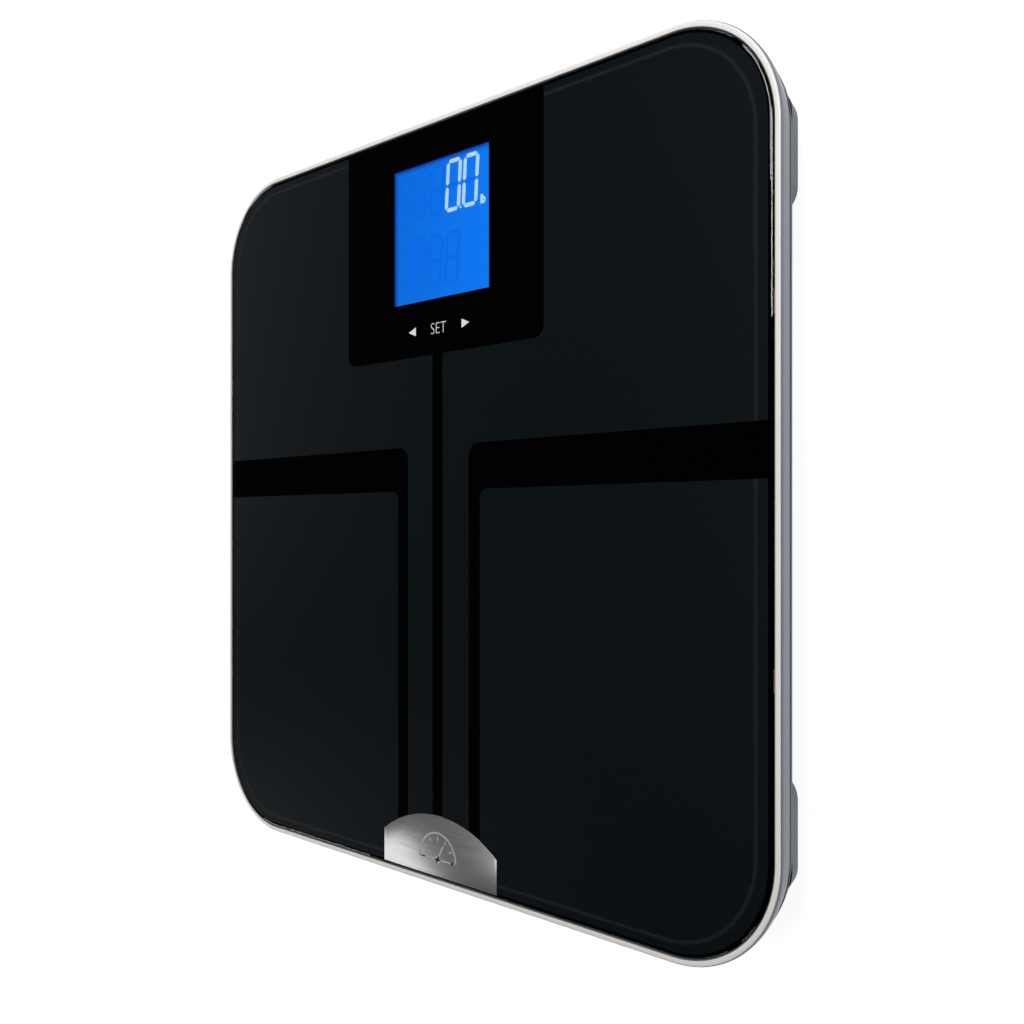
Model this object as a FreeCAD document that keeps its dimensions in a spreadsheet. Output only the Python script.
import FreeCAD, Part
import math
import os
import Sketcher

# Digital bathroom scale with a glass platform, lying flat as it is used.
# Frame: +X to the right, +Y to the display end, +Z up. The origin is on the floor, under the middle
# of the platform. Millimetres throughout.
#
# The stack from the top: glass with four clear-metal electrode films let into its face, black print
# on its back, foam tape, a rim frame that holds it, and a base shell with a deep pan for the display,
# board and battery box. Four foot pods under the base shell each hold a load cell and a moving foot.

doc = FreeCAD.newDocument("bathroom_scale")
sizes = doc.addObject("Spreadsheet::Sheet", "sizes")

DRIVING_SIZES = [
    # whole scale
    ("scale_side", 319.6, "outside of the rim, both ways"),
    ("glass_underside", 18.0, "floor to the back of the glass"),
    ("scale_corner", 41.8, "corner radius of the rim"),
    ("glass_proud", 0.5, "glass face above the rim"),
    # glass and what is on it
    ("glass_side", 312.4, "glass, both ways"),
    ("glass_thickness", 5.0, "tempered glass"),
    ("glass_corner", 38.2, "corner radius of the glass"),
    ("glass_chamfer", 0.8, "ground edge of the glass"),
    ("glass_gap", 0.35, "gap between glass and rim all round"),
    ("print_thickness", 0.1, "black print on the back of the glass"),
    ("film_thickness", 0.1, "electrode film, let into the glass"),
    ("film_border", 1.5, "glass edge to film"),
    ("centre_line", 6.0, "black line between the rear films"),
    ("strip_edge", 18.6, "middle to the outer edge of a narrow strip"),
    ("front_film_edge", 24.9, "middle to the inner edge of a front film"),
    ("band_front", 4.2, "front edge of the cross bands"),
    ("band_rear", 22.7, "rear edge of the cross bands"),
    ("band_outer_corner", 5.5, "corner radius of the strip side"),
    ("band_inner_corner", 3.5, "corner radius of the front film"),
    ("panel_half_width", 59.2, "black display panel, half its width"),
    ("panel_front", 60.6, "front edge of the display panel"),
    ("panel_corner", 5.0, "corner radius of the display panel"),
    ("badge_half_width", 34.3, "name plate, half its width"),
    ("badge_side", 13.9, "straight side of the name plate"),
    ("badge_rise", 11.3, "crown of the name plate above its sides"),
    ("badge_thickness", 0.3, "name plate, let into the glass"),
    # rim frame
    ("rim_bottom", 12.4, "lower edge of the rim"),
    ("side_inset", 2.95, "how far the side draws in at the rim's lower edge"),
    ("rim_edge_round", 1.6, "round on the rim's outer top edge"),
    ("tape_thickness", 0.4, "foam tape under the glass"),
    ("tape_notch_reach", 20.0, "notch in the tape at each electrode tab, across"),
    ("tape_notch_margin", 2.0, "notch in the tape beyond the tab's width"),
    ("ledge_thickness", 1.5, "ledge that carries the glass"),
    ("ledge_inner", 151.5, "middle to the ledge's inner edge"),
    ("rim_wall_inner", 154.0, "middle to the rim wall's inside, under the ledge"),
    ("window_corner", 33.0, "corner radius inside the ledge"),
    # base shell
    ("shell_wall", 2.0, "plastic thickness"),
    ("shell_step", 0.17, "base shell edge inside the rim's edge"),
    ("rib_height", 2.4, "locating rib"),
    ("rib_width", 2.3, "locating rib"),
    ("rib_clearance", 0.3, "locating rib to rim wall"),
    ("pan_half_x", 98.0, "deep pan, half its width"),
    ("pan_half_y", 150.6, "deep pan, half its length"),
    ("pan_corner", 14.0, "corner radius of the pan"),
    ("pan_bottom", 4.0, "underside of the pan"),
    # foot pods, load cells and feet
    ("pod_wall", 3.0, "pod outside its space"),
    ("pod_corner", 11.0, "corner radius of the pod"),
    ("pod_bottom", 2.0, "underside of the pod"),
    ("pod_edge_round", 1.5, "round on the pod's lower edge"),
    ("pod_cavity_margin", 2.0, "space in the pod beyond the foot's hole"),
    ("pod_cavity_corner", 5.0, "corner radius of the space in the pod"),
    ("cell_gap", 2.0, "load cell plate to the side of the pod's space"),
    ("cell_corner", 3.0, "corner radius of the load cell plate"),
    ("cell_thickness", 2.0, "load cell plate"),
    ("cell_frame", 5.0, "width of the plate's outer frame"),
    ("tongue_width", 14.0, "bending tongue"),
    ("cell_slot", 5.0, "slot round the tongue"),
    ("holder_lap", 1.0, "load cell holder beyond the pod's space, across"),
    ("holder_body_gap", 0.5, "holder between its ears to the side of the pod's space"),
    ("holder_grip", 3.0, "holder over the edge of the load cell plate"),
    ("holder_edge_x", 4.5, "holder to the rim's ledge, across"),
    ("holder_edge_y", 16.0, "holder to the rim's ledge, along"),
    ("holder_corner", 4.0, "corner radius of the holder"),
    ("holder_notch_margin", 0.6, "notch for the lead in the holder beyond the lead"),
    ("holder_ear", 2.0, "ear thickness"),
    ("holder_screw_margin", 1.5, "holder screw beyond the pod's space"),
    ("holder_ear_margin", 3.0, "holder ear beyond its screw"),
    ("gauge_side", 6.0, "strain gauge, both ways"),
    ("gauge_thickness", 0.3, "strain gauge under its sealant"),
    ("gauge_offset", 7.0, "plate centre to the gauge, towards the tongue's root"),
    ("foot_radius", 16.4, "foot cap"),
    ("foot_clearance", 0.6, "foot cap to pod"),
    ("foot_cap_bottom", 1.0, "lower edge of the foot cap"),
    ("foot_cap_top", 5.5, "top of the foot cap's disc"),
    ("foot_stem_radius", 5.0, "stem that presses the tongue"),
    ("foot_pad_lip", 1.8, "foot cap beyond the rubber pad"),
    ("foot_pad_thickness", 2.0, "rubber pad"),
    ("foot_pad_round", 0.6, "round on the pad's lower edge"),
    # display, board and touch keys
    ("display_x", -1.5, "middle of the display, across"),
    ("display_y", 113.3, "middle of the display, along"),
    ("display_window", 57.8, "window in the black print, both ways"),
    ("lcd_side", 66.0, "liquid crystal cell, both ways"),
    ("lcd_thickness", 2.0, "liquid crystal cell"),
    ("lcd_gap", 0.4, "cell to the back of the print"),
    ("backlight_side", 60.0, "light guide, both ways"),
    ("backlight_thickness", 3.4, "light guide"),
    ("lcd_holder_wall", 1.5, "display holder wall"),
    ("fit_gap", 0.1, "gap round a part that drops into a seat"),
    ("lcd_holder_corner", 1.5, "corner radius of the display holder"),
    ("strip_wall", 0.6, "light guide's seat to the rubber contact strip"),
    ("strip_length", 56.0, "rubber contact strip"),
    ("strip_width", 1.6, "rubber contact strip"),
    ("board_half_x", 42.0, "circuit board, half its width"),
    ("board_front", 62.0, "front edge of the circuit board"),
    ("board_rear", 147.5, "rear edge of the circuit board"),
    ("board_bottom", 10.2, "underside of the circuit board"),
    ("board_thickness", 1.2, "circuit board"),
    ("board_corner", 2.0, "corner radius of the circuit board"),
    ("chip_x", -12.0, "chip under the board, across"),
    ("chip_side", 12.0, "chip under the board, both ways"),
    ("chip_height", 1.4, "chip under the board"),
    ("boss_radius", 3.0, "board boss"),
    ("boss_inset", 3.6, "board edge to boss"),
    ("screw_radius", 0.8, "self-tapping screw"),
    ("screw_clearance", 0.02, "pilot hole to screw"),
    ("hole_margin", 0.2, "through hole beyond the pilot hole, and pilot hole to the floor"),
    ("screw_head_radius", 1.9, "screw head"),
    ("screw_head", 1.2, "screw head height"),
    ("screw_length", 5.0, "screw under its head"),
    ("key_y", 71.2, "touch keys, along"),
    ("key_spacing", 16.0, "touch key to touch key"),
    ("key_spring_side", 6.0, "touch key spring, both ways"),
    ("key_spring_strip", 0.3, "touch key spring strip"),
    ("connector_x", 5.0, "lead connector, across"),
    ("connector_y", 6.0, "lead connector, along"),
    ("connector_height", 4.2, "lead connector"),
    ("battery_connector_x", 18.0, "battery connector, across"),
    ("battery_connector_y", 7.0, "battery connector, along"),
    ("battery_connector_edge", 4.0, "front edge of the board to the battery connector's middle"),
    # leads and tabs: a plug is a connector's place along, and a run is a lead's place across
    ("load_cell_front_plug", 70.5, "front load cell leads"),
    ("load_cell_front_run", 58.0, "front load cell leads"),
    ("electrode_front_plug", 79.0, "front electrode leads"),
    ("electrode_front_run", 66.0, "front electrode leads"),
    ("electrode_rear_plug", 88.0, "rear electrode leads"),
    ("electrode_rear_run", 74.0, "rear electrode leads"),
    ("load_cell_rear_plug", 98.0, "rear load cell leads"),
    ("load_cell_rear_run", 82.0, "rear load cell leads"),
    ("lead_long_bend", 14.0, "corner cut off where a lead turns beside the board"),
    ("lead_short_bend", 8.0, "corner cut off where a lead turns into its plug"),
    ("lead_start", 5.0, "load cell's middle to the end of its lead"),
    ("pan_rib_x", 66.0, "middle to the ribs that carry the leads, across"),
    ("pan_rib_length", 24.0, "rib under the leads, across"),
    ("pan_rib_front", -40.0, "front ribs, along"),
    ("pan_rib_rear", 20.0, "rear ribs, along"),
    ("lead_diameter", 2.0, "load cell lead"),
    ("thin_lead_diameter", 1.2, "electrode and battery leads"),
    ("tab_thickness", 0.15, "electrode tab foil"),
    ("tab_width", 8.0, "electrode tab"),
    ("tab_y", 60.0, "middle to the electrode tabs"),
    ("tab_inner", 146.5, "middle to the tab's inner end"),
    ("tab_top_margin", 0.2, "top of the tab below the glass's chamfer"),
    # unit button and its switch
    ("button_x", 25.0, "unit button, across"),
    ("button_y", 75.0, "unit button, along"),
    ("button_radius", 4.0, "unit button"),
    ("button_clearance", 0.2, "unit button to its hole"),
    ("button_bottom", 3.7, "underside of the unit button"),
    ("button_flange", 1.2, "flange beyond the button"),
    ("button_flange_height", 0.5, "flange that keeps the button in"),
    ("button_travel", 0.4, "unit button stroke"),
    ("switch_side", 6.0, "tact switch body"),
    ("switch_corner", 0.5, "corner radius of the tact switch"),
    ("plunger_end_gap", 0.2, "end of the bore beyond the plunger's stroke"),
    ("switch_height", 3.0, "tact switch body"),
    ("plunger_radius", 1.7, "tact switch plunger"),
    ("plunger_clearance", 0.05, "plunger to its bore"),
    ("plunger_depth", 1.2, "plunger inside the switch at rest"),
    # battery box
    ("box_y", -50.0, "middle of the battery box, along"),
    ("box_wall", 2.0, "battery box wall outside the door"),
    ("box_roof", 1.0, "battery box roof"),
    ("box_corner", 1.5, "corner radius of the battery box"),
    ("door_rebate_gap", 0.2, "door to the ledge above it"),
    ("barrel_room", 1.0, "room round the hinge barrel, along"),
    ("latch_room_x", 1.0, "slot for the latch tongue beyond its width"),
    ("latch_room_y", 4.4, "slot for the latch tongue, along"),
    ("latch_room_z", 0.6, "slot above the latch tongue"),
    ("battery_radius", 5.2, "battery"),
    ("battery_length", 43.3, "battery without its nub"),
    ("battery_nub_radius", 1.9, "battery nub"),
    ("battery_nub", 1.0, "battery nub"),
    ("battery_pitch", 10.9, "battery to battery"),
    ("battery_end_space", 5.6, "space for contacts beyond the batteries"),
    ("contact_thickness", 0.4, "battery contact plate"),
    ("contact_side", 8.0, "battery contact plate"),
    ("contact_spring_radius", 2.6, "battery spring"),
    ("contact_spring_wire", 0.7, "battery spring wire"),
    ("contact_spring_turns", 3.5, "battery spring"),
    ("door_thickness", 1.6, "battery door"),
    ("door_gap", 0.3, "door to its recess"),
    ("door_ledge", 3.0, "ledge under the door's edge"),
    ("door_hinge_zone", 5.0, "door beyond the battery space, at the hinge"),
    ("door_latch_zone", 5.0, "door beyond the battery space, at the latch"),
    ("barrel_radius", 1.4, "door hinge barrel"),
    ("pin_radius", 0.9, "door hinge pin"),
    ("pin_clearance", 0.06, "door hinge pin to its hole"),
    ("pin_length", 1.5, "door hinge pin beyond the barrel"),
    ("latch_width", 9.0, "door latch tongue"),
    ("latch_thickness", 1.2, "door latch tongue"),
    ("latch_height", 4.0, "door latch tongue above the door"),
    ("label_place", 30.0, "middle of the rating label, along"),
    ("label_x", 60.0, "rating label, across"),
    ("label_y", 34.0, "rating label, along"),
    ("label_thickness", 0.15, "rating label"),
]
FOLLOWING_SIZES = [
    ("scale_height", "=glass_underside + glass_thickness", "floor to the glass face"),
    ("foot_pad_radius", "=foot_radius - foot_pad_lip", "rubber pad"),
    ("pod_cavity", "=2 * (foot_radius + foot_clearance + pod_cavity_margin)", "square space in the pod"),
    ("pod_width", "=pod_cavity + 2 * pod_wall", "pod, along the scale"),
    ("cell_side", "=pod_cavity - 2 * cell_gap", "load cell plate, both ways"),
    ("holder_x", "=pod_cavity + 2 * holder_lap", "load cell holder, across"),
    ("holder_window", "=cell_side - 2 * holder_grip", "square window in the holder"),
    ("holder_body_y", "=pod_cavity - 2 * holder_body_gap", "load cell holder between its ears"),
    ("holder_screw_y", "=pod_cavity / 2 + holder_screw_margin", "holder centre to its screws"),
    ("holder_y", "=2 * (holder_screw_y + holder_ear_margin)", "load cell holder over its ears"),
    ("foot_x", "=ledge_inner - holder_x / 2 - holder_edge_x", "middle to the foot's centre, across"),
    ("foot_y", "=ledge_inner - holder_y / 2 - holder_edge_y", "middle to the foot's centre, along"),
    ("pod_inner_x", "=foot_x - pod_width / 2", "middle to the pod's inner end"),
]
for row, (alias, value, note) in enumerate(DRIVING_SIZES + FOLLOWING_SIZES, start=1):
    sizes.set(f"A{row}", note)
    sizes.set(f"B{row}", str(value))
    sizes.setAlias(f"B{row}", alias)
doc.recompute()

CORNERS = [("front_left", -1, -1), ("front_right", 1, -1), ("rear_left", -1, 1), ("rear_right", 1, 1)]
sub_parts = []


# ---- expressions: every size and place is a formula on the sheet ----

def size(name):
    return f"sizes.{name}"


def number(expression):
    result = sizes.evalExpression(str(expression))
    return float(getattr(result, "Value", result))


def plus(*terms):
    return "(" + " + ".join(f"({term})" for term in terms) + ")"


def minus(first, *rest):
    return "(" + " - ".join(f"({term})" for term in (first, *rest)) + ")"


def times(factor, term):
    return f"(({factor}) * ({term}))"


def half(term):
    return times(0.5, term)


GLASS_TOP = size("scale_height")
GLASS_BOTTOM = minus(GLASS_TOP, size("glass_thickness"))
PRINT_BOTTOM = minus(GLASS_BOTTOM, size("print_thickness"))
LEDGE_TOP = minus(PRINT_BOTTOM, size("tape_thickness"))
RIM_TOP = minus(GLASS_TOP, size("glass_proud"))
SIDE_DRAFT = f"atan({size('side_inset')} / {minus(RIM_TOP, size('rim_bottom'))})"
PLATE_TOP = size("rim_bottom")
PLATE_BOTTOM = minus(PLATE_TOP, size("shell_wall"))
PLATE_HALF = minus(half(size("scale_side")), size("side_inset"), size("shell_step"))
PLATE_CORNER = minus(size("scale_corner"), size("side_inset"), size("shell_step"))
PAN_FLOOR = plus(size("pan_bottom"), size("shell_wall"))
POD_FLOOR = plus(size("pod_bottom"), size("shell_wall"))
CELL_BOTTOM = minus(PLATE_TOP, size("cell_thickness"))
BOARD_TOP = plus(size("board_bottom"), size("board_thickness"))
FILM_EDGE = minus(half(size("glass_side")), size("film_border"))
FILM_CORNER = minus(size("glass_corner"), size("film_border"))
LCD_TOP = minus(PRINT_BOTTOM, size("lcd_gap"))
LCD_BOTTOM = minus(LCD_TOP, size("lcd_thickness"))
LEAD_LEVEL = plus(PLATE_TOP, half(size("lead_diameter")))
THIN_LEAD_LEVEL = plus(PLATE_TOP, half(size("thin_lead_diameter")))


# ---- sketches and bodies ----

def new_body(label):
    body = doc.addObject("PartDesign::Body", label)
    body.Label = label
    sub_parts.append(body)
    return body


def flat_sketch(body, level, plane_role="XY_Plane"):
    """A sketch on one of the body's own planes, moved along that plane's normal to level."""
    plane = next(item for item in body.Origin.OriginFeatures if item.Role == plane_role)
    sketch = body.newObject("Sketcher::SketchObject", body.Name + "_sketch")
    sketch.AttachmentSupport = [(plane, "")]
    sketch.MapMode = "FlatFace"
    sketch.setExpression("AttachmentOffset.Base.z", str(level))
    return sketch


def bind(sketch, constraints, formulas):
    """Add constraints together; formulas gives the formula of each one that has a size."""
    first = sketch.ConstraintCount
    sketch.addConstraint(constraints)
    for offset, formula in formulas.items():
        sketch.setExpression(f"Constraints[{first + offset}]", str(formula))


def outline(sketch, corners):
    """A closed outline of level and upright lines. Each corner is (x, y, radius), as formulas."""
    count = len(corners)
    spots = [FreeCAD.Vector(number(x), number(y), 0) for x, y, _ in corners]
    radii = [number(radius) for _, _, radius in corners]
    starts, ends = [None] * count, [None] * count
    for index in range(count):
        before = (spots[index] - spots[index - 1]).normalize()
        after = (spots[(index + 1) % count] - spots[index]).normalize()
        ends[index - 1] = spots[index] - before * radii[index]
        starts[index] = spots[index] + after * radii[index]
    lines = [sketch.addGeometry(Part.LineSegment(starts[i], ends[i]), False) for i in range(count)]
    constraints, formulas = [], {}
    for index in range(count):
        run = ends[index] - starts[index]
        if abs(run.x) > abs(run.y):
            constraints.append(Sketcher.Constraint("Horizontal", lines[index]))
            formulas[len(constraints)] = corners[index][1]
            kind, place = "DistanceY", spots[index].y
        else:
            constraints.append(Sketcher.Constraint("Vertical", lines[index]))
            formulas[len(constraints)] = corners[index][0]
            kind, place = "DistanceX", spots[index].x
        constraints.append(Sketcher.Constraint(kind, -1, 1, lines[index], 1, place))
    for index in range(count):
        line_in, line_out, radius = lines[index - 1], lines[index], radii[index]
        if radius == 0:
            constraints.append(Sketcher.Constraint("Coincident", line_in, 2, line_out, 1))
            continue
        arc_in, arc_out = ends[index - 1], starts[index]
        centre = arc_in + arc_out - spots[index]
        left_turn = (spots[index] - arc_in).cross(arc_out - spots[index]).z > 0
        first, last = (arc_in, arc_out) if left_turn else (arc_out, arc_in)
        angles = [math.atan2((end - centre).y, (end - centre).x) for end in (first, last)]
        circle = Part.Circle(centre, FreeCAD.Vector(0, 0, 1), radius)
        arc = sketch.addGeometry(Part.ArcOfCircle(circle, angles[0], angles[1]), False)
        end_in, end_out = (1, 2) if left_turn else (2, 1)
        constraints.append(Sketcher.Constraint("Tangent", line_in, 2, arc, end_in))
        constraints.append(Sketcher.Constraint("Tangent", arc, end_out, line_out, 1))
        formulas[len(constraints)] = corners[index][2]
        constraints.append(Sketcher.Constraint("Radius", arc, radius))
    bind(sketch, constraints, formulas)


def rectangle(sketch, x, y, width, depth, radius=0):
    """A rectangle with round corners, centred on (x, y)."""
    left, right = minus(x, half(width)), plus(x, half(width))
    front, rear = minus(y, half(depth)), plus(y, half(depth))
    outline(sketch, [(left, front, radius), (right, front, radius),
                     (right, rear, radius), (left, rear, radius)])


def circle(sketch, x, y, radius):
    centre = FreeCAD.Vector(number(x), number(y), 0)
    ring = sketch.addGeometry(Part.Circle(centre, FreeCAD.Vector(0, 0, 1), number(radius)), False)
    constraints = [Sketcher.Constraint("DistanceX", -1, 1, ring, 3, centre.x),
                   Sketcher.Constraint("DistanceY", -1, 1, ring, 3, centre.y),
                   Sketcher.Constraint("Radius", ring, number(radius))]
    bind(sketch, constraints, {0: x, 1: y, 2: radius})


def badge_outline(sketch):
    """The name plate: straight sides up from the glass's front edge, and a crowned top."""
    half_width, side = number(size("badge_half_width")), number(size("badge_side"))
    rise = number(size("badge_rise"))
    front = -number(BADGE_FRONT)
    corners = [FreeCAD.Vector(x, y, 0) for x, y in (
        (-half_width, front), (half_width, front), (half_width, front + side), (-half_width, front + side))]
    crown = FreeCAD.Vector(0, front + side + rise, 0)
    bottom = sketch.addGeometry(Part.LineSegment(corners[0], corners[1]), False)
    right = sketch.addGeometry(Part.LineSegment(corners[1], corners[2]), False)
    left = sketch.addGeometry(Part.LineSegment(corners[3], corners[0]), False)
    top = sketch.addGeometry(Part.Arc(corners[2], crown, corners[3]), False)
    radius = (half_width ** 2 + rise ** 2) / (2 * rise)
    constraints = [
        Sketcher.Constraint("Horizontal", bottom),
        Sketcher.Constraint("Vertical", right),
        Sketcher.Constraint("Vertical", left),
        Sketcher.Constraint("Coincident", bottom, 2, right, 1),
        Sketcher.Constraint("Coincident", left, 2, bottom, 1),
        Sketcher.Constraint("Coincident", right, 2, top, 1),
        Sketcher.Constraint("Coincident", top, 2, left, 1),
        Sketcher.Constraint("Equal", left, right),
        Sketcher.Constraint("DistanceY", -1, 1, bottom, 1, front),
        Sketcher.Constraint("DistanceX", -1, 1, right, 1, half_width),
        Sketcher.Constraint("DistanceX", -1, 1, left, 1, -half_width),
        Sketcher.Constraint("DistanceY", right, 1, right, 2, side),
        Sketcher.Constraint("Radius", top, radius)]
    wide, tall = size("badge_half_width"), size("badge_rise")
    bind(sketch, constraints, {
        8: times(-1, BADGE_FRONT), 9: wide, 10: times(-1, wide), 11: size("badge_side"),
        12: f"({wide} * {wide} + {tall} * {tall}) / (2 * {tall})"})


BADGE_FRONT = minus(half(size("glass_side")), size("glass_chamfer"))


def pad(body, sketch, height, down=False, draft=None):
    feature = body.newObject("PartDesign::Pad", body.Name + "_pad")
    feature.Profile = sketch
    feature.setExpression("Length", height)
    feature.Reversed = down
    if draft:
        feature.setExpression("TaperAngle", times(-1, draft))
    return feature


def pocket(body, sketch, depth, up=False, both_ways=False):
    feature = body.newObject("PartDesign::Pocket", body.Name + "_pocket")
    feature.Profile = sketch
    feature.setExpression("Length", depth)
    feature.Reversed = up
    if both_ways:
        feature.SideType = "Symmetric"
    return feature


def slab(label, draw, bottom, top):
    """A body made of one upright pad; draw puts the outline into its sketch."""
    body = new_body(label)
    sketch = flat_sketch(body, bottom)
    draw(sketch)
    pad(body, sketch, minus(top, bottom))
    return body


def cut(body, draw, bottom, top):
    """An upright pocket from bottom to top."""
    sketch = flat_sketch(body, top)
    draw(sketch)
    pocket(body, sketch, minus(top, bottom))


def grow(body, draw, bottom, top):
    """An upright pad from bottom to top."""
    sketch = flat_sketch(body, bottom)
    draw(sketch)
    pad(body, sketch, minus(top, bottom))


def edges_at(feature, level):
    """Names of the feature's edges that lie flat at one height."""
    names = []
    for index, edge in enumerate(feature.Shape.Edges, start=1):
        box = edge.BoundBox
        if abs(box.ZMin - level) < 1e-4 and abs(box.ZMax - level) < 1e-4:
            names.append(f"Edge{index}")
    return names


def round_edges(body, kind, level, amount, keep=lambda edge: True):
    """A Fillet or Chamfer on the flat edges of the body's last feature at one height."""
    doc.recompute()
    base = body.Tip
    names = [name for name in edges_at(base, number(level)) if keep(base.Shape.getElement(name))]
    feature = body.newObject("PartDesign::" + kind, body.Name + "_" + kind.lower())
    feature.Base = (base, names)
    feature.setExpression("Radius" if kind == "Fillet" else "Size", amount)
    return feature


# ---- Part primitives ----

def block(name, x, y, bottom, width, depth, height):
    """A box centred on (x, y), standing on bottom."""
    shape = doc.addObject("Part::Box", name)
    for key, formula in (("Length", width), ("Width", depth), ("Height", height),
                         ("Placement.Base.x", minus(x, half(width))),
                         ("Placement.Base.y", minus(y, half(depth))), ("Placement.Base.z", bottom)):
        shape.setExpression(key, str(formula))
    return shape


def post(name, x, y, bottom, radius, height):
    """An upright cylinder."""
    shape = doc.addObject("Part::Cylinder", name)
    for key, formula in (("Radius", radius), ("Height", height), ("Placement.Base.x", x),
                         ("Placement.Base.y", y), ("Placement.Base.z", bottom)):
        shape.setExpression(key, str(formula))
    return shape


def bar(name, x, y, z, radius, length, towards=1):
    """A cylinder along X that starts at x and runs towards +X or -X."""
    shape = doc.addObject("Part::Cylinder", name)
    shape.Placement.Rotation = FreeCAD.Rotation(FreeCAD.Vector(0, towards, 0), 90)
    for key, formula in (("Radius", radius), ("Height", length), ("Placement.Base.x", x),
                         ("Placement.Base.y", y), ("Placement.Base.z", z)):
        shape.setExpression(key, str(formula))
    return shape


def join(name, shapes):
    fused = doc.addObject("Part::MultiFuse", name)
    fused.Shapes = shapes
    return fused


def group(label, members):
    """Separate solids that share one node."""
    compound = doc.addObject("Part::Compound", label)
    compound.Links = members
    return finished(label, compound)


def finished(label, shape):
    shape.Label = label
    sub_parts.append(shape)
    return shape


def coil(name, centre, axis, radius, wire, length, turns):
    """A round-wire spring from centre along axis."""
    helix = Part.makeHelix((length - wire) / turns, length - wire, radius - wire / 2)
    ring = Part.Circle(FreeCAD.Vector(radius - wire / 2, 0, 0), FreeCAD.Vector(0, 1, 0), wire / 2)
    profile = Part.Wire(ring.toShape())
    spring = Part.Wire(helix.Edges).makePipeShell([profile], True, True)
    feature = doc.addObject("Part::Feature", name)
    feature.Shape = spring
    feature.Placement = FreeCAD.Placement(centre + axis * (wire / 2),
                                          FreeCAD.Rotation(FreeCAD.Vector(0, 0, 1), axis))
    return feature


def lead(label, route, level, diameter):
    """An insulated lead that lies level along route: straight runs joined by tangent arcs."""
    spots = [FreeCAD.Vector(x, y, level) for x, y in route]
    edges, start = [], spots[0]
    for before, corner, after in zip(spots, spots[1:], spots[2:]):
        way_in, way_out = (corner - before).normalize(), (after - corner).normalize()
        reach = 0.45 * min((corner - before).Length, (after - corner).Length)
        bend = way_in.getAngle(way_out)
        radius = reach / math.tan(bend / 2)
        middle = corner + (way_out - way_in).normalize() * (radius / math.cos(bend / 2) - radius)
        arc_start, arc_end = corner - way_in * reach, corner + way_out * reach
        edges.append(Part.LineSegment(start, arc_start).toShape())
        edges.append(Part.Arc(arc_start, middle, arc_end).toShape())
        start = arc_end
        print(f"{label}: bend radius {radius:.1f}")
    edges.append(Part.LineSegment(start, spots[-1]).toShape())
    path = Part.Wire(edges)
    section = Part.Circle(spots[0], spots[1] - spots[0], diameter / 2)
    tube = path.makePipeShell([Part.Wire(section.toShape())], True, True)
    expected = math.pi * diameter ** 2 / 4 * path.Length
    if abs(tube.Volume - expected) > 0.01 * expected:
        raise ValueError(f"{label} has the wrong volume")
    feature = doc.addObject("Part::Feature", label)
    feature.Shape = tube
    return finished(label, feature)


# ---- glass, its print, electrode films and name plate ----

def glass_outline(sketch, side=size("glass_side"), corner=size("glass_corner")):
    rectangle(sketch, 0, 0, side, side, corner)


def rear_film(side):
    """Rear electrode: a side field and a narrow strip that runs forward beside the centre line."""
    line = times(side, half(size("centre_line")))
    strip, panel = times(side, size("strip_edge")), times(side, size("panel_half_width"))
    edge = times(side, FILM_EDGE)
    return [(line, times(-1, FILM_EDGE), 0), (strip, times(-1, FILM_EDGE), 0),
            (strip, size("band_rear"), size("band_outer_corner")), (edge, size("band_rear"), 0),
            (edge, FILM_EDGE, FILM_CORNER), (panel, FILM_EDGE, 0),
            (panel, size("panel_front"), size("panel_corner")), (line, size("panel_front"), 0)]


def front_film(side):
    """Front electrode: one field in front of the cross band."""
    inner, edge = times(side, size("front_film_edge")), times(side, FILM_EDGE)
    return [(inner, times(-1, FILM_EDGE), 0), (edge, times(-1, FILM_EDGE), FILM_CORNER),
            (edge, size("band_front"), 0), (inner, size("band_front"), size("band_inner_corner"))]


def film_corners(side, end):
    return rear_film(side) if end > 0 else front_film(side)


glass = slab("platform_glass", glass_outline, GLASS_BOTTOM, GLASS_TOP)
round_edges(glass, "Chamfer", GLASS_TOP, size("glass_chamfer"))
FILM_BOTTOM = minus(GLASS_TOP, size("film_thickness"))
for corner_name, side, end in CORNERS:
    cut(glass, lambda sketch: outline(sketch, film_corners(side, end)), FILM_BOTTOM, GLASS_TOP)
BADGE_BOTTOM = minus(GLASS_TOP, size("badge_thickness"))
cut(glass, badge_outline, BADGE_BOTTOM, GLASS_TOP)

for corner_name, side, end in CORNERS:
    film = slab("electrode_film_" + corner_name,
                lambda sketch: outline(sketch, film_corners(side, end)), FILM_BOTTOM, GLASS_TOP)
    cut(film, badge_outline, BADGE_BOTTOM, GLASS_TOP)

slab("badge_plate", badge_outline, BADGE_BOTTOM, GLASS_TOP)


def display_square(side, corner=0):
    """A sketch filler for a square on the display's centre."""
    return lambda sketch: rectangle(sketch, size("display_x"), size("display_y"), side, side, corner)


back_print = slab("back_print", glass_outline, PRINT_BOTTOM, GLASS_BOTTOM)
cut(back_print, display_square(size("display_window")), PRINT_BOTTOM, GLASS_BOTTOM)


# ---- foam tape and rim frame ----

def ledge_outline(sketch):
    rectangle(sketch, 0, 0, times(2, size("ledge_inner")), times(2, size("ledge_inner")),
              size("window_corner"))


tape = slab("glass_tape", glass_outline, LEDGE_TOP, PRINT_BOTTOM)
cut(tape, ledge_outline, LEDGE_TOP, PRINT_BOTTOM)
TAPE_NOTCH = plus(size("tab_width"), size("tape_notch_margin"))
for corner_name, side, end in CORNERS:
    cut(tape, lambda sketch: rectangle(sketch, times(side, half(size("glass_side"))),
                                       times(end, size("tab_y")), size("tape_notch_reach"), TAPE_NOTCH),
        LEDGE_TOP, PRINT_BOTTOM)

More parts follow.
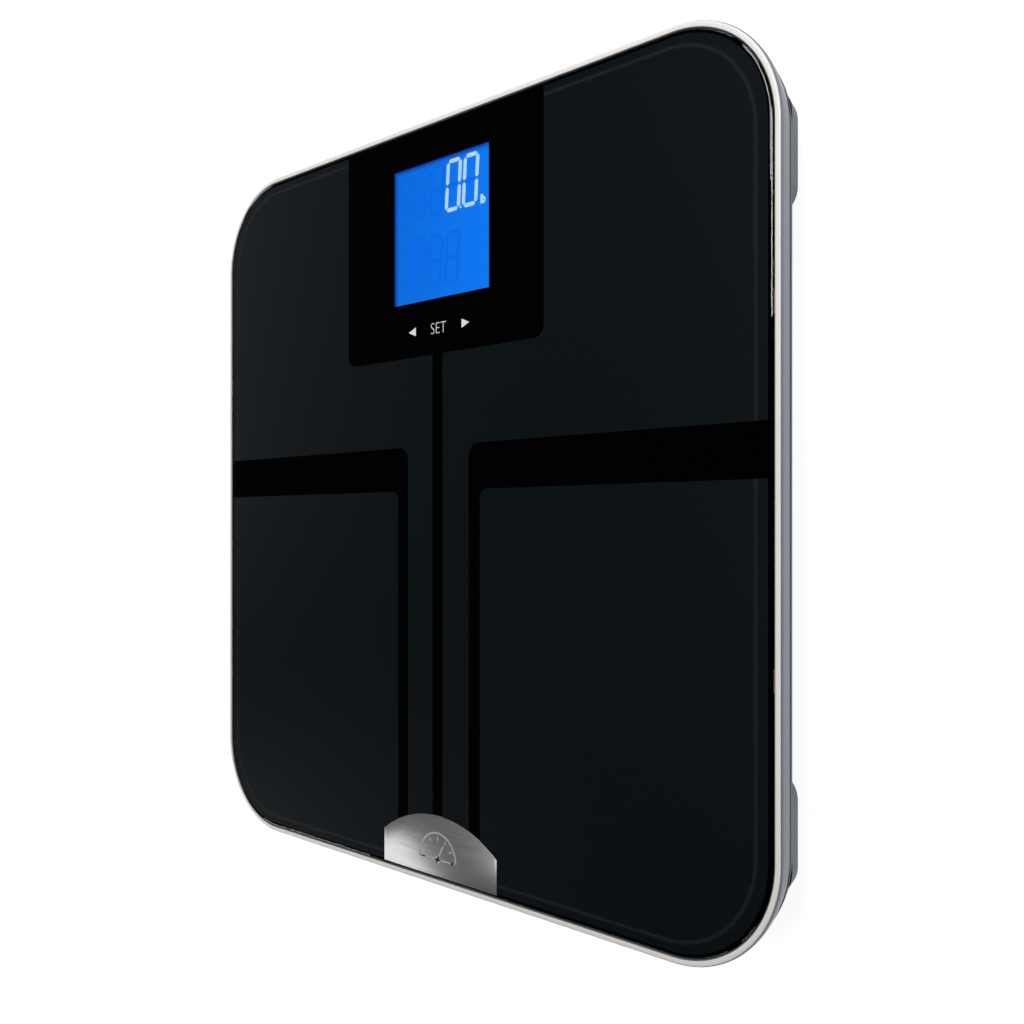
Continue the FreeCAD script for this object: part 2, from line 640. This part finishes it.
rim = new_body("rim_frame")
rim_sketch = flat_sketch(rim, RIM_TOP)
rectangle(rim_sketch, 0, 0, size("scale_side"), size("scale_side"), size("scale_corner"))
pad(rim, rim_sketch, minus(RIM_TOP, size("rim_bottom")), down=True, draft=SIDE_DRAFT)
round_edges(rim, "Fillet", RIM_TOP, size("rim_edge_round"))
SEAT_SIDE = plus(size("glass_side"), times(2, size("glass_gap")))
SEAT_CORNER = plus(size("glass_corner"), size("glass_gap"))
cut(rim, lambda sketch: glass_outline(sketch, SEAT_SIDE, SEAT_CORNER), LEDGE_TOP, RIM_TOP)
cut(rim, ledge_outline, size("rim_bottom"), LEDGE_TOP)
LEDGE_BOTTOM = minus(LEDGE_TOP, size("ledge_thickness"))
WALL_CORNER = plus(size("window_corner"), minus(size("rim_wall_inner"), size("ledge_inner")))
cut(rim, lambda sketch: rectangle(sketch, 0, 0, times(2, size("rim_wall_inner")),
                                  times(2, size("rim_wall_inner")), WALL_CORNER),
    size("rim_bottom"), LEDGE_BOTTOM)

# ---- base shell: plate, locating rib, deep pan, foot pods, battery box, bosses and ribs ----

RIB_OUTER = minus(size("rim_wall_inner"), size("rib_clearance"))
RIB_INNER = minus(RIB_OUTER, size("rib_width"))
PAN_INNER_X = minus(size("pan_half_x"), size("shell_wall"))
PAN_INNER_Y = minus(size("pan_half_y"), size("shell_wall"))
POD_CORNER_SPOTS = [(times(side, size("foot_x")), times(end, size("foot_y"))) for _, side, end in CORNERS]

shell = new_body("base_shell")
plate_sketch = flat_sketch(shell, PLATE_TOP)
rectangle(plate_sketch, 0, 0, times(2, PLATE_HALF), times(2, PLATE_HALF), PLATE_CORNER)
pad(shell, plate_sketch, size("shell_wall"), down=True, draft=SIDE_DRAFT)


def rib_ring(sketch):
    for reach, corner in ((RIB_OUTER, minus(WALL_CORNER, size("rib_clearance"))),
                          (RIB_INNER, minus(WALL_CORNER, size("rib_clearance"), size("rib_width")))):
        rectangle(sketch, 0, 0, times(2, reach), times(2, reach), corner)


grow(shell, rib_ring, PLATE_TOP, plus(PLATE_TOP, size("rib_height")))

pan_sketch = flat_sketch(shell, PLATE_BOTTOM)
rectangle(pan_sketch, 0, 0, times(2, size("pan_half_x")), times(2, size("pan_half_y")), size("pan_corner"))
pad(shell, pan_sketch, minus(PLATE_BOTTOM, size("pan_bottom")), down=True)
PAN_INNER_CORNER = minus(size("pan_corner"), size("shell_wall"))
cut(shell, lambda sketch: rectangle(sketch, 0, 0, times(2, PAN_INNER_X), times(2, PAN_INNER_Y),
                                    PAN_INNER_CORNER), PAN_FLOOR, PLATE_TOP)

# a pod's outer end carries on down from the plate's edge
PLATE_EDGE_BELOW = minus(PLATE_HALF, f"{size('shell_wall')} * tan({SIDE_DRAFT})")
POD_LENGTH = minus(PLATE_EDGE_BELOW, size("pod_inner_x"))
POD_MIDDLE = half(plus(PLATE_EDGE_BELOW, size("pod_inner_x")))
for corner_name, side, end in CORNERS:
    pod_sketch = flat_sketch(shell, PLATE_BOTTOM)
    rectangle(pod_sketch, times(side, POD_MIDDLE), times(end, size("foot_y")), POD_LENGTH,
              size("pod_width"), size("pod_corner"))
    pad(shell, pod_sketch, minus(PLATE_BOTTOM, size("pod_bottom")), down=True, draft=SIDE_DRAFT)
round_edges(shell, "Fillet", size("pod_bottom"), size("pod_edge_round"))
FOOT_HOLE = plus(size("foot_radius"), size("foot_clearance"))
PILOT = plus(size("screw_radius"), size("screw_clearance"))
HOLDER_SCREW_TIP = minus(plus(PLATE_TOP, size("holder_ear")), size("screw_length"))
for x, y in POD_CORNER_SPOTS:
    cut(shell, lambda sketch: rectangle(sketch, x, y, size("pod_cavity"), size("pod_cavity"),
                                        size("pod_cavity_corner")), POD_FLOOR, PLATE_TOP)
    cut(shell, lambda sketch: circle(sketch, x, y, FOOT_HOLE), size("pod_bottom"), POD_FLOOR)
    for offset in (-1, 1):
        cut(shell, lambda sketch: circle(sketch, x, plus(y, times(offset, size("holder_screw_y"))), PILOT),
            minus(HOLDER_SCREW_TIP, size("hole_margin")), PLATE_TOP)

# battery box: four batteries side by side, along X, under a door that is flush with the pan
BOX_INNER_X = plus(size("battery_length"), size("battery_nub"), size("battery_end_space"))
BOX_INNER_Y = times(4, size("battery_pitch"))
DOOR_TOP = plus(size("pan_bottom"), size("door_thickness"))
BATTERY_BOTTOM = plus(DOOR_TOP, size("door_gap"))
BATTERY_AXIS = plus(BATTERY_BOTTOM, size("battery_radius"))
BOX_CEILING = plus(BATTERY_AXIS, size("battery_radius"), size("fit_gap"), size("fit_gap"))
BOX_TOP = plus(BOX_CEILING, size("box_roof"))
DOOR_X = plus(BOX_INNER_X, times(2, size("door_ledge")))
DOOR_Y = plus(BOX_INNER_Y, size("door_hinge_zone"), size("door_latch_zone"))
DOOR_MIDDLE = plus(size("box_y"), half(minus(size("door_hinge_zone"), size("door_latch_zone"))))
RECESS_X = plus(DOOR_X, times(2, size("door_gap")))
RECESS_Y = plus(DOOR_Y, times(2, size("door_gap")))
BOX_OUTER_X = plus(RECESS_X, times(2, size("box_wall")))
BOX_OUTER_Y = plus(RECESS_Y, times(2, size("box_wall")))
HINGE_Y = minus(plus(DOOR_MIDDLE, half(DOOR_Y)), size("barrel_radius"))
HINGE_Z = plus(size("pan_bottom"), size("barrel_radius"))
LATCH_Y = plus(minus(DOOR_MIDDLE, half(DOOR_Y)), size("latch_thickness"))

grow(shell, lambda sketch: rectangle(sketch, 0, DOOR_MIDDLE, BOX_OUTER_X, BOX_OUTER_Y,
                                     size("box_corner")), PAN_FLOOR, BOX_TOP)
cut(shell, lambda sketch: rectangle(sketch, 0, DOOR_MIDDLE, RECESS_X, RECESS_Y),
    size("pan_bottom"), plus(DOOR_TOP, size("door_rebate_gap")))
cut(shell, lambda sketch: rectangle(sketch, 0, size("box_y"), BOX_INNER_X, BOX_INNER_Y),
    size("pan_bottom"), BOX_CEILING)
HINGE_ROOM_Y = times(2, plus(size("barrel_radius"), size("barrel_room")))
cut(shell, lambda sketch: rectangle(sketch, 0, HINGE_Y, RECESS_X, HINGE_ROOM_Y),
    size("pan_bottom"), plus(HINGE_Z, size("barrel_radius"), size("door_gap")))
LATCH_ROOM_X = plus(size("latch_width"), size("latch_room_x"))
cut(shell, lambda sketch: rectangle(sketch, 0, LATCH_Y, LATCH_ROOM_X, size("latch_room_y")),
    size("pan_bottom"), plus(DOOR_TOP, size("latch_height"), size("latch_room_z")))
pin_sketch = flat_sketch(shell, 0, "YZ_Plane")
circle(pin_sketch, HINGE_Y, HINGE_Z, plus(size("pin_radius"), size("pin_clearance")))
pocket(shell, pin_sketch, plus(RECESS_X, times(2, size("pin_length"))), both_ways=True)

# board bosses, button hole and the ribs that carry the leads over the pan
BOSS_X = minus(size("board_half_x"), size("boss_inset"))
BOSS_SPOTS = [(times(side, BOSS_X), y) for side in (-1, 1) for y in (
    plus(size("board_front"), size("boss_inset")), minus(size("board_rear"), size("boss_inset")))]
for x, y in BOSS_SPOTS:
    grow(shell, lambda sketch: circle(sketch, x, y, size("boss_radius")), PAN_FLOOR, size("board_bottom"))
    cut(shell, lambda sketch: circle(sketch, x, y, PILOT), plus(PAN_FLOOR, size("hole_margin")),
        size("board_bottom"))
cut(shell, lambda sketch: circle(sketch, size("button_x"), size("button_y"),
                                 plus(size("button_radius"), size("button_clearance"))),
    size("pan_bottom"), PAN_FLOOR)
for side in (-1, 1):
    for rib_y in (size("pan_rib_front"), size("pan_rib_rear")):
        grow(shell, lambda sketch: rectangle(sketch, times(side, size("pan_rib_x")), rib_y,
                                             size("pan_rib_length"), size("shell_wall")),
             PAN_FLOOR, PLATE_TOP)

# ---- load cells, their holders and gauges ----

SLOT_HALF = plus(half(size("tongue_width")), size("cell_slot"))
SLOT_REACH = minus(half(size("cell_side")), size("cell_frame"))
TONGUE_TIP = minus(SLOT_REACH, size("cell_slot"))
NOTCH_WIDTH = plus(size("lead_diameter"), size("holder_notch_margin"))
SCREW_HOLE = plus(PILOT, size("hole_margin"))
gauges = []
holder_screws = []
for corner_name, side, end in CORNERS:
    x, y = times(side, size("foot_x")), times(end, size("foot_y"))
    cell = slab("load_cell_" + corner_name,
                lambda sketch: rectangle(sketch, x, y, size("cell_side"), size("cell_side"),
                                         size("cell_corner")), CELL_BOTTOM, PLATE_TOP)
    near, far = times(end, SLOT_REACH), times(-end, SLOT_REACH)
    tip = times(-end, TONGUE_TIP)

    def tongue_slot(sketch):
        """A U round the tongue, which stays joined to the frame at its outer end."""
        spots = [(-1, SLOT_HALF, near), (-1, SLOT_HALF, far), (1, SLOT_HALF, far), (1, SLOT_HALF, near),
                 (1, half(size("tongue_width")), near), (1, half(size("tongue_width")), tip),
                 (-1, half(size("tongue_width")), tip), (-1, half(size("tongue_width")), near)]
        outline(sketch, [(plus(x, times(way, reach)), plus(y, along), 0) for way, reach, along in spots])

    cut(cell, tongue_slot, CELL_BOTTOM, PLATE_TOP)
    gauges.append(block("gauge_" + corner_name, x, plus(y, times(end, size("gauge_offset"))), PLATE_TOP,
                        size("gauge_side"), size("gauge_side"), size("gauge_thickness")))
    holder = slab("load_cell_holder_" + corner_name,
                  lambda sketch: rectangle(sketch, x, y, size("holder_x"), size("holder_y"),
                                           size("holder_corner")),
                  PLATE_TOP, plus(PLATE_TOP, size("holder_ear")))
    grow(holder, lambda sketch: rectangle(sketch, x, y, size("holder_x"), size("holder_body_y")),
         PLATE_TOP, PRINT_BOTTOM)
    cut(holder, lambda sketch: rectangle(sketch, x, y, size("holder_window"), size("holder_window"),
                                         size("cell_corner")), PLATE_TOP, PRINT_BOTTOM)
    cut(holder, lambda sketch: rectangle(sketch, minus(x, times(side, half(size("holder_x")))), y,
                                         size("holder_x"), NOTCH_WIDTH), PLATE_TOP,
        plus(PLATE_TOP, NOTCH_WIDTH))
    for offset in (-1, 1):
        spot = plus(y, times(offset, size("holder_screw_y")))
        cut(holder, lambda sketch: circle(sketch, x, spot, SCREW_HOLE), PLATE_TOP,
            plus(PLATE_TOP, size("holder_ear")))
        holder_screws.append((x, spot, plus(PLATE_TOP, size("holder_ear"))))
group("strain_gauges", gauges)


def screw(name, x, y, seat):
    """A pan-head screw that points down, with its head standing on seat."""
    shank = post(name + "_shank", x, y, minus(seat, size("screw_length")), size("screw_radius"),
                 size("screw_length"))
    head = post(name + "_head", x, y, seat, size("screw_head_radius"), size("screw_head"))
    return join(name, [shank, head])


group("holder_screws", [screw(f"holder_screw_{i}", *spot) for i, spot in enumerate(holder_screws)])

# ---- feet: a plastic cap whose stem presses the tongue, and a rubber pad let into its underside ----

for corner_name, side, end in CORNERS:
    x, y = times(side, size("foot_x")), times(end, size("foot_y"))
    cap = slab("foot_cap_" + corner_name, lambda sketch: circle(sketch, x, y, size("foot_radius")),
               size("foot_cap_bottom"), size("foot_cap_top"))
    grow(cap, lambda sketch: circle(sketch, x, y, size("foot_stem_radius")), size("foot_cap_top"),
         CELL_BOTTOM)
    cut(cap, lambda sketch: circle(sketch, x, y, size("foot_pad_radius")), size("foot_cap_bottom"),
        size("foot_pad_thickness"))
    pad_body = slab("foot_pad_" + corner_name,
                    lambda sketch: circle(sketch, x, y, size("foot_pad_radius")), 0,
                    size("foot_pad_thickness"))
    round_edges(pad_body, "Fillet", 0, size("foot_pad_round"))

# ---- display: liquid crystal cell, light guide, holder and rubber contact strip ----

LCD_SEAT = plus(size("lcd_side"), times(2, size("fit_gap")))
LIGHT_SEAT = plus(size("backlight_side"), times(2, size("fit_gap")))
HOLDER_SIDE = plus(LCD_SEAT, times(2, size("lcd_holder_wall")))
LIGHT_BOTTOM = minus(LCD_BOTTOM, size("backlight_thickness"))
STRIP_Y = minus(size("display_y"), half(LIGHT_SEAT), half(size("strip_width")), size("strip_wall"))

slab("lcd_panel", display_square(size("lcd_side")), LCD_BOTTOM, LCD_TOP)
slab("backlight_panel", display_square(size("backlight_side")), LIGHT_BOTTOM, LCD_BOTTOM)
lcd_holder = slab("lcd_holder", display_square(HOLDER_SIDE, size("lcd_holder_corner")), BOARD_TOP,
                  PRINT_BOTTOM)
cut(lcd_holder, display_square(LCD_SEAT), LCD_BOTTOM, PRINT_BOTTOM)
cut(lcd_holder, display_square(LIGHT_SEAT), LIGHT_BOTTOM, LCD_BOTTOM)
cut(lcd_holder, lambda sketch: rectangle(sketch, size("display_x"), STRIP_Y,
                                         plus(size("strip_length"), size("fit_gap")),
                                         plus(size("strip_width"), size("fit_gap"))), BOARD_TOP, LCD_BOTTOM)
finished("lcd_contact_strip", block("lcd_contact_strip", size("display_x"), STRIP_Y, BOARD_TOP,
                                    size("strip_length"), size("strip_width"), minus(LCD_BOTTOM, BOARD_TOP)))

# ---- circuit board, its chip, connectors, screws and touch key springs ----

BOARD_MIDDLE = half(plus(size("board_front"), size("board_rear")))
board = slab("main_board", lambda sketch: rectangle(
    sketch, 0, BOARD_MIDDLE, times(2, size("board_half_x")),
    minus(size("board_rear"), size("board_front")), size("board_corner")),
             size("board_bottom"), BOARD_TOP)
for x, y in BOSS_SPOTS:
    cut(board, lambda sketch: circle(sketch, x, y, SCREW_HOLE), size("board_bottom"), BOARD_TOP)
finished("board_chip", block("board_chip", size("chip_x"), BOARD_MIDDLE,
                             minus(size("board_bottom"), size("chip_height")), size("chip_side"),
                             size("chip_side"), size("chip_height")))
group("board_screws", [screw(f"board_screw_{i}", x, y, BOARD_TOP) for i, (x, y) in enumerate(BOSS_SPOTS)])

# each touch key spring is a strip bent into a C between the board and the back of the print
SPRING_HEIGHT = minus(PRINT_BOTTOM, BOARD_TOP)
springs = []
for index in (-1, 0, 1):
    x, strip, wide = times(index, size("key_spacing")), size("key_spring_strip"), size("key_spring_side")
    riser_x = minus(x, half(minus(wide, strip)))
    leaves = [block(f"spring_foot_{index + 1}", x, size("key_y"), BOARD_TOP, wide, wide, strip),
              block(f"spring_riser_{index + 1}", riser_x, size("key_y"), BOARD_TOP, strip, wide,
                    SPRING_HEIGHT),
              block(f"spring_top_{index + 1}", x, size("key_y"), minus(PRINT_BOTTOM, strip), wide, wide,
                    strip)]
    springs.append(join(f"touch_spring_{index + 1}", leaves))
group("touch_springs", springs)

# Leads run from the sides over the pan into connectors on the board's side edges.
CONNECTOR_X = minus(size("board_half_x"), half(size("connector_x")))
SIDES = [("left", -1), ("right", 1)]
LEADS = [("load_cell", "front"), ("electrode", "front"), ("electrode", "rear"), ("load_cell", "rear")]
connectors = []
for side_name, side in SIDES:
    for kind, end_name in LEADS:
        connectors.append(block(f"connector_{kind}_{end_name}_{side_name}", times(side, CONNECTOR_X),
                                size(f"{kind}_{end_name}_plug"), BOARD_TOP, size("connector_x"),
                                size("connector_y"), size("connector_height")))
connectors.append(block("connector_battery", 0, plus(size("board_front"), size("battery_connector_edge")),
                        minus(size("board_bottom"), size("connector_height")),
                        size("battery_connector_x"), size("battery_connector_y"),
                        size("connector_height")))
group("lead_connectors", connectors)

BOARD_EDGE = number(size("board_half_x"))
LONG_BEND = number(size("lead_long_bend"))
SHORT_BEND = number(size("lead_short_bend"))


def front_route(start_x, start_y, run_x, plug_y):
    """In from a front corner, back over the pan beside the board, and into the board's edge."""
    return [(start_x, start_y), (run_x + LONG_BEND, start_y), (run_x, start_y + LONG_BEND),
            (run_x, plug_y - LONG_BEND), (run_x - SHORT_BEND, plug_y), (BOARD_EDGE, plug_y)]


def rear_route(start_x, start_y, run_x, plug_y):
    """In from a rear corner and across to the board's edge."""
    slant = 0.5 * abs(plug_y - start_y)
    return [(start_x, start_y), (run_x + slant, start_y), (run_x - slant, plug_y), (BOARD_EDGE, plug_y)]


LEAD_STARTS = {"load_cell": (minus(size("foot_x"), size("lead_start")), size("foot_y")),
               "electrode": (size("tab_inner"), size("tab_y"))}
LEAD_KINDS = {"load_cell": (LEAD_LEVEL, "lead_diameter"),
              "electrode": (THIN_LEAD_LEVEL, "thin_lead_diameter")}
for side_name, side in SIDES:
    for kind, end_name in LEADS:
        start_x, start_y = (number(place) for place in LEAD_STARTS[kind])
        run_x, plug_y = number(size(f"{kind}_{end_name}_run")), number(size(f"{kind}_{end_name}_plug"))
        if end_name == "front":
            route = front_route(start_x, -start_y, run_x, plug_y)
        else:
            route = rear_route(start_x, start_y, run_x, plug_y)
        level, diameter = LEAD_KINDS[kind]
        lead(f"{kind}_lead_{end_name}_{side_name}", [(side * x, y) for x, y in route], number(level),
             number(size(diameter)))

# ---- electrode tabs: foil from the film's edge, down the side of the glass and inward ----

TAB_OUTSIDE = plus(half(size("glass_side")), size("tab_thickness"))
TAB_BOTTOM = minus(PRINT_BOTTOM, size("tab_thickness"))
TAB_TOP = minus(GLASS_TOP, size("glass_chamfer"), size("tab_top_margin"))
tabs = []
for corner_name, side, end in CORNERS:
    y = times(end, size("tab_y"))
    foil = [block(f"tab_side_{corner_name}", times(side, minus(TAB_OUTSIDE, half(size("tab_thickness")))), y,
                  TAB_BOTTOM, size("tab_thickness"), size("tab_width"), minus(TAB_TOP, TAB_BOTTOM)),
            block(f"tab_under_{corner_name}", times(side, half(plus(TAB_OUTSIDE, size("tab_inner")))), y,
                  TAB_BOTTOM, minus(TAB_OUTSIDE, size("tab_inner")), size("tab_width"),
                  size("tab_thickness")),
            block(f"tab_down_{corner_name}",
                  times(side, plus(size("tab_inner"), half(size("tab_thickness")))), y, PLATE_TOP,
                  size("tab_thickness"), size("tab_width"), minus(PRINT_BOTTOM, PLATE_TOP))]
    tabs.append(join("tab_" + corner_name, foil))
group("electrode_tabs", tabs)

# ---- unit button, under the board, and the tact switch that it presses ----

SWITCH_BOTTOM = minus(size("board_bottom"), size("switch_height"))
button_spot = (size("button_x"), size("button_y"))
FLANGE_TOP = plus(PAN_FLOOR, size("button_flange_height"))
button = slab("unit_button", lambda sketch: circle(sketch, *button_spot, size("button_radius")),
              size("button_bottom"), FLANGE_TOP)
grow(button, lambda sketch: circle(sketch, *button_spot, plus(size("button_radius"), size("button_flange"))),
     PAN_FLOOR, FLANGE_TOP)
switch = slab("unit_switch", lambda sketch: rectangle(sketch, *button_spot, size("switch_side"),
                                                      size("switch_side"), size("switch_corner")),
              SWITCH_BOTTOM, size("board_bottom"))
cut(switch, lambda sketch: circle(sketch, *button_spot, plus(size("plunger_radius"),
                                                             size("plunger_clearance"))),
    SWITCH_BOTTOM, plus(SWITCH_BOTTOM, size("plunger_depth"), size("button_travel"),
                        size("plunger_end_gap")))
slab("unit_switch_plunger", lambda sketch: circle(sketch, *button_spot, size("plunger_radius")),
     FLANGE_TOP, plus(SWITCH_BOTTOM, size("plunger_depth")))

# ---- batteries, contacts and battery leads ----

plates, battery_springs = [], []
BOX_HALF = half(BOX_INNER_X)
for index in range(4):
    towards = 1 if index % 2 == 0 else -1
    y = plus(size("box_y"), times(index - 1.5, size("battery_pitch")))
    nub_tip = times(towards, minus(BOX_HALF, size("contact_thickness"), size("fit_gap")))
    shoulder = minus(nub_tip, times(towards, size("battery_nub")))
    flat_end = minus(shoulder, times(towards, size("battery_length")))
    can = bar(f"can_{index}", flat_end, y, BATTERY_AXIS, size("battery_radius"), size("battery_length"),
              towards)
    nub = bar(f"nub_{index}", shoulder, y, BATTERY_AXIS, size("battery_nub_radius"), size("battery_nub"),
              towards)
    finished(f"battery_{index + 1}", join(f"battery_{index + 1}", [can, nub]))
    for way in (-1, 1):
        middle = times(way, minus(BOX_HALF, half(size("contact_thickness"))))
        plates.append(block(f"contact_{index}_{way + 1}", middle, y,
                            minus(BATTERY_AXIS, half(size("contact_side"))), size("contact_thickness"),
                            size("contact_side"), size("contact_side")))
    plate_face = -towards * (number(BOX_HALF) - number(size("contact_thickness")))
    spring_foot = FreeCAD.Vector(plate_face, number(y), number(BATTERY_AXIS))
    battery_springs.append(coil(f"battery_spring_{index}", spring_foot, FreeCAD.Vector(towards, 0, 0),
                                number(size("contact_spring_radius")), number(size("contact_spring_wire")),
                                abs(number(flat_end) - plate_face),
                                number(size("contact_spring_turns"))))
group("battery_contact_plates", plates)
group("battery_springs", battery_springs)

box_rear = number(plus(DOOR_MIDDLE, half(BOX_OUTER_Y)))
floor_lead_level = number(plus(PAN_FLOOR, half(size("thin_lead_diameter"))))
connector_front = number(minus(plus(size("board_front"), size("battery_connector_edge")),
                               half(size("battery_connector_y"))))
# (place across, share of the way from the battery box to the connector)
BATTERY_LEAD_SHAPE = [(6, 0), (6, 0.3), (12, 0.55), (5, 0.8), (5, 1)]
for way, pole in ((1, "positive"), (-1, "negative")):
    route = [(way * x, box_rear + share * (connector_front - box_rear)) for x, share in BATTERY_LEAD_SHAPE]
    lead(f"battery_lead_{pole}", route, floor_lead_level, number(size("thin_lead_diameter")))

# ---- battery door: plate, hinge barrel with its two pins, and latch tongue ----

door_plate = block("door_plate", 0, minus(DOOR_MIDDLE, half(size("barrel_radius"))), size("pan_bottom"),
                   DOOR_X, minus(DOOR_Y, size("barrel_radius")), size("door_thickness"))
BARREL_START = times(-0.5, DOOR_X)
barrel = bar("door_barrel", BARREL_START, HINGE_Y, HINGE_Z, size("barrel_radius"), DOOR_X)
PIN_SPAN = plus(DOOR_X, times(2, size("pin_length")))
pin = bar("door_pin", times(-0.5, PIN_SPAN), HINGE_Y, HINGE_Z, size("pin_radius"), PIN_SPAN)
tongue = block("door_tongue", 0, LATCH_Y, size("pan_bottom"), size("latch_width"), size("latch_thickness"),
               plus(size("door_thickness"), size("latch_height")))
finished("battery_door", join("battery_door", [door_plate, barrel, pin, tongue]))

finished("rating_label", block("rating_label", 0, size("label_place"),
                               minus(size("pan_bottom"), size("label_thickness")),
                               size("label_x"), size("label_y"), size("label_thickness")))

# ---- check and write ----

doc.recompute()
for item in doc.Objects:
    if "Invalid" in item.State or "Error" in item.State:
        raise RuntimeError(f"{item.Label} did not build: {item.State}")
for item in sub_parts:
    if item.Shape.isNull() or not item.Shape.isValid() or item.Shape.Volume <= 0:
        raise RuntimeError(f"{item.Label} has no valid shape")
os.makedirs("parts", exist_ok=True)
for item in sub_parts:
    item.Shape.exportStep(os.path.join("parts", item.Label + ".step"))
    print(f"{item.Label}: {len(item.Shape.Solids)} solid(s), {item.Shape.Volume:.0f} mm3")
print(len(sub_parts), "sub-parts")
